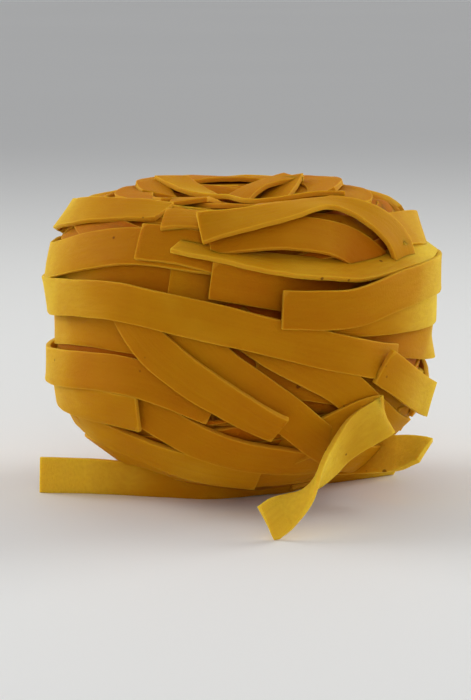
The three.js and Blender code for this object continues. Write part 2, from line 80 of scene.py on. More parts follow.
# Ribbons wound round the body, from the first laid to the last: stops of azimuth and height, how
# far each end springs out, and how far the ribbon is turned on to its edge.
BELTS = {
    "low_back": {"stops": [(70, 12), (110, 10), (150, 11), (190, 10), (230, 12), (265, 12)]},
    "low_left": {"stops": [(-150, 8), (-110, 7), (-75, 8), (-45, 8), (-15, 6), (20, 6), (50, 9)]},
    "mid_front": {"stops": [(5, 25), (20, 24.5), (40, 22), (70, 19), (100, 18), (135, 18)]},
    "under_belt": {
        "stops": [
            (-175, 29), (-120, 28.5), (-86, 30), (-54, 32.2), (-38, 32.3), (-20, 31.5),
        ],
    },
    "left_shelf": {"stops": [(-150, 41), (-100, 40), (-54, 41.6), (-38, 42.2), (-20, 42.2)]},
    "right_shelf": {"stops": [(-21, 42.4), (-13, 42), (-2, 41.4), (8, 40.7)]},
    "belly_left": {
        "stops": [
            (-140, 19), (-100, 17), (-67, 14.1), (-48, 12.5), (-30, 10), (-12, 7.5), (8, 6),
        ],
    },
    "sweep_low": {
        "stops": [
            (-52, 23), (-40, 21.5), (-26, 18), (-16, 14.8), (-3, 11.8), (14, 9.8), (32, 9),
            (52, 10),
        ],
    },
    "left_stub": {
        "stops": [
            (-135, 21), (-95, 19.5), (-62, 18.8), (-43, 19), (-30, 18.5),
        ],
        "lift": (0, 0.8),
    },
    "slant_right": {
        "stops": [
            (-2, 35), (11, 30.6), (21, 27.2), (31, 23.3), (43, 18.3), (62, 13), (95, 10),
        ],
    },
    "slant_inner": {
        "stops": [
            (-25, 37.5), (-15, 33.3), (-6, 28.5), (3, 23.9), (13, 19), (21, 15.1), (31, 11.6),
            (50, 8), (80, 7),
        ],
    },
    "left_lower_belt": {
        "stops": [
            (-190, 23), (-130, 22.5), (-81, 23.3), (-44, 25.4), (-26, 24.5), (-16, 22.5), (-8, 20),
        ],
    },
    "upper_belt": {
        "stops": [
            (-210, 38), (-150, 39.5), (-120, 41), (-85, 42), (-66, 44.1), (-47, 46.9), (-30, 48),
            (-14, 47), (2, 45.4),
        ],
    },
    "right_back_rim": {"stops": [(60, 45), (90, 43), (120, 42), (150, 43), (185, 45), (215, 46)]},
    "back_low": {"stops": [(75, 17), (110, 20), (145, 23.5), (180, 24), (215, 21), (250, 17)]},
    "back_falling": {"stops": [(120, 44), (145, 39), (170, 34), (195, 29.5), (225, 25), (250, 22)]},
    "back_rim": {"stops": [(95, 49), (130, 51.5), (165, 52.5), (200, 52), (235, 50.5), (262, 49)]},
    "folded_end": {"stops": [(-31, 48.8), (-22, 48.6), (-12, 47.6), (-4, 46.6)], "lift": (0.3, 0)},
    "left_rim": {
        "stops": [
            (-150, 46), (-115, 48.5), (-88, 50.5), (-66, 52.5), (-48, 53.3), (-30, 53.5),
        ],
    },
    "rim_end": {"stops": [(-26, 52.6), (-15, 52.8), (-5, 52.2), (4, 51.2)], "lift": (0.5, 0)},
    "leaf": {
        "stops": [
            (-9, 49.4), (2, 50.2), (12, 50.6), (24, 50), (37, 47.7), (45, 44.9), (52, 42),
        ],
    },
    "mid_stub": {
        "stops": [
            (-8, 42.7), (2, 41.6), (12, 40.3), (22, 39.2), (32, 38.4),
        ],
        "lift": (0.5, 0),
    },
    "right_hook": {
        "stops": [
            (58, 49.5), (70, 49.2), (91, 47.5), (120, 44), (155, 42),
        ],
        "lift": (0.6, 0),
    },
    "crown_belt": {
        "stops": [
            (-12, 51.5), (2, 52.9), (12, 53.8), (24, 54.6), (37, 54.8), (48, 53), (56, 48.5),
            (60, 44), (63, 39.5),
        ],
        "lift": (0.8, 0),
    },
    "shelf_edge": {
        "stops": [
            (-19, 48.9), (-8, 48.1), (2, 46.7), (12, 45.5), (22, 44.8), (34, 43.8), (47, 44.3),
            (69, 45.3), (90, 45.6), (120, 45), (160, 46),
        ],
        "lift": (0.4, 0),
        "tilt": -60,
    },
    "low_right_belt": {
        "stops": [
            (22, 33), (40, 31.9), (56, 30.1), (86, 27.4), (125, 26), (180, 27), (230, 28),
        ],
    },
    "mid_right_belt": {
        "stops": [
            (12, 36.5), (36, 35.2), (62, 34.7), (86, 34.3), (130, 34), (180, 33), (215, 31),
        ],
    },
    "slant_outer": {
        "stops": [
            (-37, 39), (-30, 34.3), (-25, 30.8), (-19, 27.9), (-11, 24.4), (-3, 21.4), (5, 18.8),
            (12, 16.4),
        ],
        "lift": (0, 0.4),
    },
    "main_belt": {
        "stops": [
            (-255, 33), (-200, 33.5), (-150, 34.5), (-110, 35.3), (-77, 36.1), (-49, 37.9),
            (-37, 38.3), (-16, 36.6), (2, 34.1), (20, 31.3), (41, 27.7), (53, 26),
        ],
    },
    "top_stub": {
        "stops": [
            (11, 37.9), (22, 37.5), (33, 37.4), (46, 39.2), (68, 40.2), (88, 40), (130, 39),
            (180, 41), (220, 42),
        ],
        "lift": (0.4, 0),
    },
    "right_stub": {
        "stops": [
            (43, 26.5), (52, 23.5), (61, 20.8), (70, 18.5), (77, 17.2),
        ],
        "lift": (0.9, 1.5),
    },
}
TOP_ARCS = [
    {"centre": (30, 3), "radius": 8.5, "bearings": (-40, 250)},
    {"centre": (200, 4), "radius": 12, "bearings": (120, 380)},
    {"centre": (300, 5), "radius": 16.5, "bearings": (60, 310)},
    {"centre": (60, 6), "radius": 17, "bearings": (-70, 170)},
    {"centre": (180, 6), "radius": 18, "bearings": (70, 290)},
    {"centre": (230, 22), "radius": 27, "bearings": (2, 96)},
    {"centre": (60, 24), "radius": 31, "bearings": (198, 282)},
    {"centre": (150, 18), "radius": 23, "bearings": (-88, 28)},
]
FOOT_ARCS = [
    {"centre": (160, 4), "radius": 13, "bearings": (30, 300)},
]
LOOSE_ENDS = {
    "long_tail": [
        ((30, 6, 2.4), (0.4, -0.4, 0.8)),
        ((19, -2, 2), (0.5, -0.6, 0.6)),
        ((9, -11, 2.4), (0.3, -0.6, 0.75)),
        ((-3, -15.5, 2.8), (0, -0.5, 0.85)),
        ((-14, -13.5, 3), (0, -0.3, 0.95)),
        ((-25, -10.2, 3.2), (0, -0.1, 1)),
        ((-36.4, -8.6, 3.3), (0, 0, 1)),
    ],
    "right_tail": [
        ((8, -8, 6), (-0.2, -0.2, 1)),
        ((18.2, -12, 7.6), (-0.1, 0.1, 1)),
        ((27.1, -15.5, 8.6), (0, 0.33, 0.94)),
        ((33.3, -19, 9.7), (0.4, 0.82, 0.39)),
    ],
    "twisted_tail": [
        ((4, -25, 10), (-0.3, -0.4, 0.85)),
        ((13, -28, 14.3), (-0.35, -0.35, 0.87)),
        ((20.5, -27.5, 17.2), (-0.4, -0.2, 0.88)),
        ((25.4, -25.5, 18), (-0.45, 0.05, 0.88)),
        ((25.4, -27.5, 17.7), (-0.45, 0.05, 0.88)),
        ((21.5, -30.5, 15.8), (-0.6, -0.3, 0.7)),
        ((18, -33, 13), (-0.5, -0.75, 0.4)),
        ((15.2, -36.3, 10), (-0.35, -0.9, 0.2)),
        ((12.2, -39.8, 7.3), (-0.15, -0.95, -0.1)),
        ((8.9, -43, 4.9), (0.25, -0.85, -0.4)),
        ((4.5, -45, 2.6), (0.69, 0, -0.72)),
    ],
}


def unit(vectors):
    return vectors / np.linalg.norm(vectors, axis=-1, keepdims=True)


def reach_and_squareness(above):
    return (
        np.where(above, TOP_REACH, BOTTOM_REACH),
        np.where(above, TOP_SQUARENESS, BOTTOM_SQUARENESS),
    )


def other_leg(leg, squareness):
    """The other leg of a point on a squared-off quarter circle of radius 1."""
    return (1 - leg**squareness) ** (1 / squareness)


def outline_reach(units):
    """How far the outline is from the centre in each direction."""
    level = np.hypot(units[..., 0], units[..., 1])
    above = units[..., 2] > 0
    reach, squareness = reach_and_squareness(above)
    total = (level / NEST_RADIUS) ** squareness + (np.abs(units[..., 2]) / reach) ** squareness
    distance = total ** (-1 / squareness)
    dimple = EYE_DEPTH * np.exp(-((distance * level / EYE_RADIUS) ** 2))
    return np.where(above, distance - dimple, distance)


def standing(points):
    """How far points stand outside the outline."""
    arms = points - CENTRE
    distance = np.linalg.norm(arms, axis=-1)
    return distance - outline_reach(arms / distance[..., None])


def outward_at(points):
    """The way out of the nest at points."""
    nudge = SLOPE_NUDGE * np.eye(3)
    slopes = [standing(points + nudge[a]) - standing(points - nudge[a]) for a in range(3)]
    return unit(np.stack(slopes, axis=-1))


def belt_directions(azimuths, heights):
    rise = heights - CENTRE[2]
    reach, squareness = reach_and_squareness(rise > 0)
    radius = NEST_RADIUS * other_leg(np.minimum(HIGHEST_BELT, np.abs(rise) / reach), squareness)
    turn = np.radians(azimuths)
    return unit(np.stack([radius * np.sin(turn), -radius * np.cos(turn), rise], axis=-1))


def arc_directions(arc, side):
    """Directions to an arc over the top (side 1) or under the foot (side -1)."""
    (azimuth, offset), (start, end) = arc["centre"], arc["bearings"]
    bearings = np.radians(np.linspace(start, end, math.ceil(abs(end - start) / ARC_STOP_TURN) + 1))
    turn = math.radians(azimuth)
    x = offset * math.sin(turn) + arc["radius"] * np.sin(bearings)
    y = -offset * math.cos(turn) - arc["radius"] * np.cos(bearings)
    reach, squareness = reach_and_squareness(np.full(len(x), side > 0))
    swing = np.minimum(WIDEST_ARC, np.hypot(x, y) / NEST_RADIUS)
    return unit(np.stack([x, y, side * reach * other_leg(swing, squareness)], axis=-1))


def smooth_line(stops, at):
    """Points on the smooth line through the stops, at places counted in stops."""
    stops = np.asarray(stops, float)
    padded = np.vstack([2 * stops[0] - stops[1], stops, 2 * stops[-1] - stops[-2]])
    k = np.clip(np.floor(at).astype(int), 0, len(stops) - 2)
    t = (at - k)[:, None]
    before, start, end, after = (padded[k + i] for i in range(4))
    leave, arrive = (end - before) / 2, (after - start) / 2
    bend = 3 * (end - start) - 2 * leave - arrive
    return start + leave * t + bend * t**2 + (2 * (start - end) + leave + arrive) * t**3


def even_line(stops, place=lambda points: points):
    """Points a laying step apart on the line through the stops, with their places from 0 to 1."""
    pieces = LINE_PIECES * len(stops)
    fine = place(smooth_line(stops, np.linspace(0, len(stops) - 1, pieces + 1)))
    run = np.concatenate([[0], np.cumsum(np.linalg.norm(np.diff(fine, axis=0), axis=1))])
    count = max(3, round(run[-1] / LAYING_STEP))
    index = np.interp(np.linspace(0, run[-1], count + 1), run, np.arange(len(run)))
    points = np.stack([np.interp(index, np.arange(len(run)), fine[:, a]) for a in range(3)], axis=1)
    return points, index / pieces


def neighbours(values):
    """Each value's neighbour before and after it, or itself at an end."""
    return np.concatenate([values[:1], values[:-1]]), np.concatenate([values[1:], values[-1:]])


def cube_directions():
    """The direction to the middle of each cell of a cube round the centre."""
    cells = np.arange(6 * RELIEF_CELLS**2)
    face = cells // RELIEF_CELLS**2
    main = face // 2
    arms = np.zeros((len(cells), 3))
    arms[cells, main] = np.where(face % 2 == 1, -1, 1)
    for turn, place in ((1, cells // RELIEF_CELLS % RELIEF_CELLS), (2, cells % RELIEF_CELLS)):
        arms[cells, (main + turn) % 3] = 2 * (place + 0.5) / RELIEF_CELLS - 1
    return unit(arms)


def cube_cells(points):
    """The cell that the line from the centre to each point goes through."""
    arms = points - CENTRE
    main = np.argmax(np.abs(arms), axis=-1)[..., None]
    size = np.abs(np.take_along_axis(arms, main, -1))
    shares = ((np.take_along_axis(arms, (main + turn) % 3, -1) / size + 1) / 2 for turn in (1, 2))
    u, v = (np.minimum(RELIEF_CELLS - 1, (share * RELIEF_CELLS).astype(int)) for share in shares)
    face = 2 * main + (np.take_along_axis(arms, main, -1) <= 0)
    return ((face * RELIEF_CELLS + u) * RELIEF_CELLS + v)[..., 0]


def depth_shares(units):
    """The four nearest places in the table of depths to each direction, with their shares."""
    column = (np.arctan2(units[..., 1], units[..., 0]) / (2 * math.pi) + 1) % 1 * SINK_COLUMNS
    row = np.arccos(np.clip(units[..., 2], -1, 1)) / math.pi * (SINK_ROWS - 1)
    left = np.floor(column).astype(int) % SINK_COLUMNS
    top = np.minimum(SINK_ROWS - 2, np.floor(row).astype(int))
    right, u, v = (left + 1) % SINK_COLUMNS, column - np.floor(column), row - top
    return (
        (top * SINK_COLUMNS + left, (1 - u) * (1 - v)),
        (top * SINK_COLUMNS + right, u * (1 - v)),
        ((top + 1) * SINK_COLUMNS + left, (1 - u) * v),
        ((top + 1) * SINK_COLUMNS + right, u * v),
    )


def depth_at(depths, units):
    return sum(share * depths[place] for place, share in depth_shares(units))


def sunk_depths(heights):
    """How deep the body lies once it is sunk by the smoothed height of what is laid on it."""
    sums, weights = np.zeros((2, SINK_COLUMNS * SINK_ROWS))
    for place, share in depth_shares(cube_directions()):
        np.add.at(sums, place, share * heights)
        np.add.at(weights, place, share)

    def blurred(table):
        rows = np.pad(table.reshape(SINK_ROWS, SINK_COLUMNS), ((1, 1), (0, 0)), mode="edge")
        rows = rows[:-2] + 2 * rows[1:-1] + rows[2:]
        return (np.roll(rows, 1, axis=1) + 2 * rows + np.roll(rows, -1, axis=1)).ravel()

    return np.maximum(LEAST_DEPTH, BODY_DEPTH + blurred(sums) / blurred(weights))


def averaged(values):
    inner = (values[:-2] + 2 * values[1:-1] + values[2:]) / 4
    return np.concatenate([values[:1], inner, values[-1:]])


def bridged(bumps):
    """A stiff line over bumps: it clears each one and bridges the dips between them."""
    before, after = neighbours(bumps)
    wide = np.maximum(bumps, np.maximum(before, after))
    line = wide.copy()
    for _ in range(BRIDGE_PASSES):
        middle = (line[:-2] + line[2:]) / 2
        line = np.maximum(wide, np.concatenate([line[:1], middle, line[-1:]]))
    return averaged(averaged(line))


def with_outward(ribbon):
    """Adds the direction from the ribbon's lower face to its upper one."""
    before, after = neighbours(ribbon["left"] + ribbon["right"])
    outward = unit(np.cross(after - before, ribbon["right"] - ribbon["left"]))
    return {**ribbon, "outward": outward}


def resting_ribbon(directions, relief, width):
    """Where a ribbon along directions from the centre comes to lie on top of the relief."""

    def on_outline(arms):
        units = unit(arms)
        return units * outline_reach(units)[:, None] + CENTRE

    points, places = even_line(directions, on_outline)
    before, after = neighbours(points)
    along = unit(after - before)
    across = unit(np.cross(outward_at(points), along))
    up = np.cross(along, across)
    felt = points[:, None] + across[:, None] * (np.array(FEELERS) * width / 2)[None, :, None]
    bumps = relief[cube_cells(felt)] - standing(felt)
    left = np.maximum(bumps[:, 0], bumps[:, 1])
    right = np.maximum(bumps[:, 4], bumps[:, 5])
    short = np.maximum(0, np.maximum(bumps[:, 2], bumps[:, 3]) - (left + right) / 2)
    lefts, rights = bridged(left + short), bridged(right + short)
    return with_outward(
        {
            "left": points - across * width / 2 + up * lefts[:, None],
            "right": points + across * width / 2 + up * rights[:, None],
            "place": places,
            "up": up,
        }
    )


def turned(arms, axes, angle):
    """Arms turned about axes by an angle in radians."""
    along = axes * np.sum(arms * axes, axis=1, keepdims=True)
    return along + (arms - along) * math.cos(angle) + np.cross(axes, arms) * math.sin(angle)


def settled(ribbon, thickness, lift=(0, 0), tilt=0):
    """Presses a resting ribbon in where it stands out too far, then tilts it and lifts its ends."""
    outward, up = ribbon["outward"], ribbon["up"]
    excess = (standing(ribbon[s] + outward * thickness) - FREE_STANDING for s in ("left", "right"))
    near, far = (
        ribbon[side] - up * PRESSING * np.maximum(0, out)[:, None]
        for side, out in zip(("left", "right"), excess)
    )
    steps = np.arange(len(near))
    start, end = (np.maximum(0, 1 - s / SPRINGING) ** 2 for s in (steps, steps[::-1]))
    spring = up * (lift[0] * start + lift[1] * end)[:, None]
    along = unit(np.cross(far - near, outward))
    middle = (near + far) / 2 - up * (TILTED_SINK if tilt else 0)
    near, far = (
        turned(corner - middle, along, math.radians(tilt)) + middle + spring
        for corner in (near, far)
    )
    return with_outward({"left": near, "right": far, "place": ribbon["place"]})


def touch(ribbon, relief, width, thickness):
    """Adds a ribbon's upper face to the relief."""
    across = math.ceil(width / TOUCH_SPACING)
    along = math.ceil(LAYING_STEP / TOUCH_SPACING)
    t = np.linspace(0, 1, across + 1)[None, :, None]
    rows = (ribbon["left"] + ribbon["outward"] * thickness)[:, None] * (1 - t)
    rows = rows + (ribbon["right"] + ribbon["outward"] * thickness)[:, None] * t
    for a in range(along):
        points = rows[:-1] + (rows[1:] - rows[:-1]) * a / along
        np.maximum.at(relief, cube_cells(points), standing(points))


def wind_belt(belt, relief, width, thickness):
    """Winds a ribbon on so that its middle is at the heights of its stops."""
    azimuths, wanted = np.array(belt["stops"], float).T
    manner = {key: belt[key] for key in ("lift", "tilt") if key in belt}
    heights = wanted.copy()
    for _ in range(AIMING_ROUNDS):
        ribbon = resting_ribbon(belt_directions(azimuths, heights), relief, width)
        result = settled(ribbon, thickness, **manner)
        places = np.linspace(0, 1, len(wanted))
        nearest = np.abs(result["place"][None] - places[:, None]).argmin(axis=1)
        middle = (result["left"] + result["right"])[nearest, 2] / 2
        heights += wanted - middle - thickness * result["outward"][nearest, 2]
    touch(ribbon, relief, width, thickness)
    return settled(ribbon, thickness, **manner)


def free_ribbon(stops, width):
    """A ribbon that follows its own stops through the air."""
    points, places = even_line([at for at, _ in stops])
    before, after = neighbours(points)
    along = unit(after - before)
    widths = unit(np.array([across for _, across in stops], float))
    across = smooth_line(widths, places * (len(stops) - 1))
    across = unit(across - along * np.sum(across * along, axis=1, keepdims=True))
    ribbon = {"left": points - across * width / 2, "right": points + across * width / 2}
    return with_outward(ribbon)


def lay_all(depths, width, thickness):
    """Lays every ribbon, the deepest first, and returns them by kind, with the relief they make."""
    relief = -depth_at(depths, cube_directions())

    def lay_arcs(arcs, side):
        laid = []
        for arc in arcs:
            ribbon = resting_ribbon(arc_directions(arc, side), relief, width)
            touch(ribbon, relief, width, thickness)
            laid.append(settled(ribbon, thickness))
        return laid

    ribbons = {"foot": lay_arcs(FOOT_ARCS, -1), "top": lay_arcs(TOP_ARCS, 1)}
    ribbons["belts"] = [wind_belt(belt, relief, width, thickness) for belt in BELTS.values()]
    ribbons["loose"] = [free_ribbon(stops, width) for stops in LOOSE_ENDS.values()]
    return ribbons, relief


@functools.lru_cache(maxsize=None)
def wound(width, thickness):
    """The finished winding: ribbons by kind, and the table of depths of the body under them."""
    level = np.full(SINK_COLUMNS * SINK_ROWS, BODY_DEPTH)
    _, relief = lay_all(level, width, thickness)
    depths = sunk_depths(relief)
    return lay_all(depths, width, thickness)[0], depths


# ---------------------------------------------------------------------------------------------
# Sizes and colours
# ---------------------------------------------------------------------------------------------


def linear(colour):
    """A colour written as sRGB hex, in linear light."""
    channels = (int(colour[i : i + 2], 16) / 255 for i in (0, 2, 4))
    return tuple(c / 12.92 if c <= 0.04045 else ((c + 0.055) / 1.055) ** 2.4 for c in channels)


def size(name, description, default):
    return bpy.props.FloatProperty(
        name=name, description=description, default=default, min=0, precision=5, unit="LENGTH"
    )


def colour(name, description, default):
    return bpy.props.FloatVectorProperty(
        name=name, description=description, default=linear(default), min=0, max=1, subtype="COLOR"
    )


class NestSizes(bpy.types.PropertyGroup):
    ribbon_width: size("Ribbon width", "Width of a dried ribbon", 0.0066)
    ribbon_thickness: size("Ribbon thickness", "Thickness of a dried ribbon", 0.00092)
    edge_round: size("Edge rounding", "Radius of the edges that the cutting roller leaves", 0.00012)
    cupping: size("Cupping", "How far a ribbon's middle may rise or sink as it dries", 0.0004)
    twist: size("Twist", "How far a ribbon's edges lift and sink as it turns a little", 0.00035)
    ripple: size("Ripple", "How far the thin edges ripple", 0.00006)
    core_gap: size("Core gap", "How deep the core lies under the lowest ribbons", 0.0007)
    cloud_size: size("Cloud size", "Size of the paler and deeper places in the dough", 0.014)
    streak_width: size("Streak width", "Width of the faint lines that run along a ribbon", 0.0007)
    streak_length: size("Streak length", "Length of the faint lines that run along a ribbon", 0.05)
    speck_spacing: size("Speck spacing", "Distance between bran specks", 0.0052)
    grain_size: size("Grain size", "Size of the semolina grain that roughens the faces", 0.00035)
    relief_depth: size("Relief depth", "Height of the grain and the faint lines", 0.0002)


class NestColours(bpy.types.PropertyGroup):
    # straw yellow is mostly reached through the painted glow where light comes through a ribbon
    straw_yellow: colour("Straw yellow", "Single ribbons that the light comes through", "E6BE34")
    egg_yellow: colour("Egg yellow", "The palest ribbons of the winding", "C4860C")
    # deep amber: the ribbons' own deeper tone, and painted shade where they lie deep
    deep_amber: colour("Deep amber", "The deeper ribbons of the winding", "B26204")
    # fold orange: painted glow and shade of ribbons that lie deep between others
    fold_glow_orange: colour("Fold orange", "Ribbons that lie deep between others", "C86806")
    # painted highlight: the paler colour of cut edges and ends
    painted_edge_highlight: colour("Painted edge highlight", "Cut edges and ends", "E0AC30")
    bran_speck: colour("Bran speck", "Specks of bran in the dough", "6E3A0E")
    # core amber: painted glow of light that comes through the ribbons into the core
    core_glow_amber: colour("Core amber", "The shaded inside of the nest", "E0700C")
    floor_white: colour("Floor white", "The pale floor", "ECECEC")


# ---------------------------------------------------------------------------------------------
# Materials
# ---------------------------------------------------------------------------------------------

# fold orange at the top of the scale is painted shade and glow, straw yellow at the bottom mostly
# painted glow
SHEET_STOPS = (0.0, 0.3, 0.62, 1.0)  # places of the four dough colours on the scale of tints
CLOUD_TINT = 0.15  # how far a cloud moves the tint
PATCH_SIZE = 0.33  # m, of the patches in the floor's paint
STREAK_SEED = 40.0  # moves the faint lines from ribbon to ribbon with the tint
GRAIN_SHARE = 0.7  # height of the grain beside that of the faint lines


def add_node(tree, kind, settings=None, links=None):
    """Adds a node, sets its properties and input values, and links its inputs to outputs."""
    node = tree.nodes.new(kind)
    for key, value in (settings or {}).items():
        if isinstance(key, str) and hasattr(node, key):
            setattr(node, key, value)
        else:
            node.inputs[key].default_value = value
    for key, output in (links or {}).items():
        tree.links.new(output, node.inputs[key])
    return node


def new_material(name):
    material = bpy.data.materials.new(name)
    material.use_nodes = True
    material.node_tree.nodes.clear()
    return material, material.node_tree


def opaque(rgb):
    return (*rgb, 1.0)


def rolled_egg_pasta(sizes, colours):
    """Egg pasta, rolled, cut and air dried.

    Rolling draws faint lines along the ribbon, and drying leaves a hard matt face that light soaks
    into. Cut edges and ends carry a painted highlight, outlines a painted yellow glow and folds a
    painted orange shade.
    """
    material, tree = new_material("rolled_air_dried_egg_pasta")
    place = add_node(tree, "ShaderNodeTexCoord").outputs["Object"]
    along, across, rim, tint = (
        add_node(tree, "ShaderNodeAttribute", {"attribute_name": name}).outputs["Fac"]
        for name in ("along", "across", "rim", "tint")
    )

    # each ribbon is cut from another part of the sheet, a little paler or deeper
    clouds = add_node(
        tree,
        "ShaderNodeTexNoise",
        {"Scale": 1 / sizes.cloud_size, "Detail": 2.0},
        {"Vector": place},
    )
    uneven = add_node(
        tree,
        "ShaderNodeMapRange",
        {"To Min": -CLOUD_TINT, "To Max": CLOUD_TINT},
        {"Value": clouds.outputs["Fac"]},
    )
    depth = add_node(tree, "ShaderNodeMath", {"operation": "ADD"}, {0: tint, 1: uneven.outputs[0]})
    # the tint carries painted glow and painted shade as well as each ribbon's own tone
    sheet = add_node(tree, "ShaderNodeValToRGB", links={"Fac": depth.outputs[0]})
    for stop in SHEET_STOPS[1:-1]:
        sheet.color_ramp.elements.new(stop)
    tones = (colours.straw_yellow, colours.egg_yellow, colours.deep_amber, colours.fold_glow_orange)
    for stop, rgb in zip(sheet.color_ramp.elements, tones):
        stop.color = opaque(rgb)

    # the roller and the drying draw faint lines along the ribbon
    run = add_node(tree, "ShaderNodeCombineXYZ", links={"X": along, "Y": across, "Z": tint})
    lines = (MM / sizes.streak_length, sizes.ribbon_width / sizes.streak_width / 2, STREAK_SEED)
    drawn = add_node(tree, "ShaderNodeMapping", {"Scale": lines}, {"Vector": run.outputs[0]})
    streaks = add_node(
        tree, "ShaderNodeTexNoise", {"Scale": 1.0, "Detail": 3.0}, {"Vector": drawn.outputs[0]}
    )
    streak = add_node(
        tree,
        "ShaderNodeMapRange",
        {"From Min": 0.35, "From Max": 0.75, "To Max": 0.2},
        {"Value": streaks.outputs["Fac"]},
    )
    lined = add_node(
        tree,
        "ShaderNodeMix",
        {"data_type": "RGBA", 7: opaque(colours.deep_amber)},
        {0: streak.outputs[0], 6: sheet.outputs["Color"]},
    )

    # cut edges and ends are painted paler as a highlight
    edge = add_node(
        tree,
        "ShaderNodeMapRange",
        {"From Min": 0.92, "From Max": 1.0, "To Max": 0.4},
        {"Value": rim},
    )
    edged = add_node(
        tree,
        "ShaderNodeMix",
        {"data_type": "RGBA", 7: opaque(colours.painted_edge_highlight)},
        {0: edge.outputs[0], 6: lined.outputs[2]},
    )

    # bran specks of up to 1 mm across, with a soft edge, each of another size
    cells = add_node(
        tree, "ShaderNodeTexVoronoi", {"Scale": 1 / sizes.speck_spacing}, {"Vector": place}
    )
    draw = add_node(tree, "ShaderNodeSeparateColor", links={"Color": cells.outputs["Color"]})
    reach = add_node(tree, "ShaderNodeMapRange", {"To Max": 0.1}, {"Value": draw.outputs[0]})
    inside = add_node(
        tree,
        "ShaderNodeMath",
        {"operation": "SUBTRACT"},
        {0: reach.outputs[0], 1: cells.outputs["Distance"]},
    )
    speck = add_node(
        tree, "ShaderNodeMapRange", {"From Max": 0.03, "To Max": 0.8}, {"Value": inside.outputs[0]}
    )
    specked = add_node(
        tree,
        "ShaderNodeMix",
        {"data_type": "RGBA", 7: opaque(colours.bran_speck)},
        {0: speck.outputs[0], 6: edged.outputs[2]},
    )

    # semolina grain of about 0.35 mm and the faint lines roughen the face
    grain = add_node(
        tree,
        "ShaderNodeTexNoise",
        {"Scale": 1 / sizes.grain_size, "Detail": 2.0, "Roughness": 0.6},
        {"Vector": place},
    )
    relief = add_node(
        tree,
        "ShaderNodeMath",
        {"operation": "MULTIPLY_ADD", 1: GRAIN_SHARE},
        {0: grain.outputs["Fac"], 2: streaks.outputs["Fac"]},
    )
    bump = add_node(
        tree,
        "ShaderNodeBump",
        {"Strength": 0.6, "Distance": sizes.relief_depth},
        {"Height": relief.outputs[0]},
    )
    roughness = add_node(
        tree, "ShaderNodeMapRange", {"To Min": 0.5, "To Max": 0.7}, {"Value": grain.outputs["Fac"]}
    )
    surface = add_node(
        tree,
        "ShaderNodeBsdfPrincipled",
        {
            "IOR": 1.5,
            "Specular IOR Level": 0.035,
            "Subsurface Weight": 0.8,
            "Subsurface Radius": (1.0, 0.95, 0.4),
            "Subsurface Scale": 0.0012,
        },
        {
            "Base Color": specked.outputs[2],
            "Roughness": roughness.outputs[0],
            "Normal": bump.outputs[0],
        },
    )
    add_node(tree, "ShaderNodeOutputMaterial", links={"Surface": surface.outputs[0]})
    return material


def packed_egg_pasta(sizes, colours):
    """Egg pasta, wound and air dried in a packed mass.

    Only light that has come through other ribbons reaches it; its deep even orange is a painted
    glow of that light.
    """
    material, tree = new_material("packed_air_dried_egg_pasta")
    place = add_node(tree, "ShaderNodeTexCoord").outputs["Object"]
    folds = add_node(
        tree,
        "ShaderNodeTexNoise",
        {"Scale": 1 / sizes.ribbon_width, "Detail": 3.0},
        {"Vector": place},
    )
    # ribbon-sized patches between painted fold shade and painted core glow
    shades = add_node(tree, "ShaderNodeValToRGB", links={"Fac": folds.outputs["Fac"]})
    shades.color_ramp.elements[0].color = opaque(colours.fold_glow_orange)
    shades.color_ramp.elements[1].color = opaque(colours.core_glow_amber)
    surface = add_node(
        tree,
        "ShaderNodeBsdfPrincipled",
        {"Roughness": 0.7, "Specular IOR Level": 0.1},
        {"Base Color": shades.outputs["Color"]},
    )
    add_node(tree, "ShaderNodeOutputMaterial", links={"Surface": surface.outputs[0]})
    return material


def painted_board(colours):
    """Board painted matt white: even and without gloss, a touch darker in wide patches."""
    material, tree = new_material("matt_painted_board")
    place = add_node(tree, "ShaderNodeTexCoord").outputs["Object"]
    patches = add_node(
        tree, "ShaderNodeTexNoise", {"Scale": 1 / PATCH_SIZE, "Detail": 2.0}, {"Vector": place}
    )
    level = add_node(
        tree,
        "ShaderNodeMapRange",
        {"To Min": 0.98, "To Max": 1.02},
        {"Value": patches.outputs["Fac"]},
    )
    paint = add_node(
        tree,
        "ShaderNodeHueSaturation",
        {"Color": opaque(colours.floor_white)},
        {"Value": level.outputs[0]},
    )
    surface = add_node(
        tree,
        "ShaderNodeBsdfPrincipled",
        {"Roughness": 0.6, "Specular IOR Level": 0.3},
        {"Base Color": paint.outputs["Color"]},
    )
    add_node(tree, "ShaderNodeOutputMaterial", links={"Surface": surface.outputs[0]})
    return material


# ---------------------------------------------------------------------------------------------
# Pieces
# ---------------------------------------------------------------------------------------------

SEED = 20
ACROSS = 5  # faces across a ribbon
FINE, COARSE = 2, 1  # mesh steps to each laying step, on ribbons that show and on ones beneath
CORE_SUBDIVISIONS = 5
EASING_PASSES = 4
ROUNDED_FROM, SHARP_FROM = 50, 38  # degrees between faces
EDGE_SEGMENTS = 2

# How a ribbon strays from its plain shape: by what share, and the shortest wave in mm
WIDTH_STRAY, CUP_STRAY = (0.012, 9), (0.25, 22)
TWIST_WAVE, RIPPLE_WAVE = 17, 4
CUP_RANGE = (-0.5, 1)  # from a sunk middle to a raised one
OUTER_SHAPE, SWIRL_SHAPE, INNER_SHAPE = 0.6, 0.4, 0.3  # shares of the full cupping and twist
WAVES = ((1.0, 0.45), (2.3, 0.7), (4.9, 1.0))  # length and height of each wave in a stray line

# Tints run from 0, straw yellow, to 1, fold orange
BELT_TINTS, CROWN_TINTS, LOOSE_TINTS = (0.32, 0.46), (0.42, 0.55), (0.34, 0.42)
# inner ribbons get deeper tints as painted shade for lying under the others
INNER_TINTS, SWIRL_TINTS = (0.52, 0.66), (0.2, 0.38)
OFFSETS = (0, 500)  # mm along the sheet, where a ribbon may start
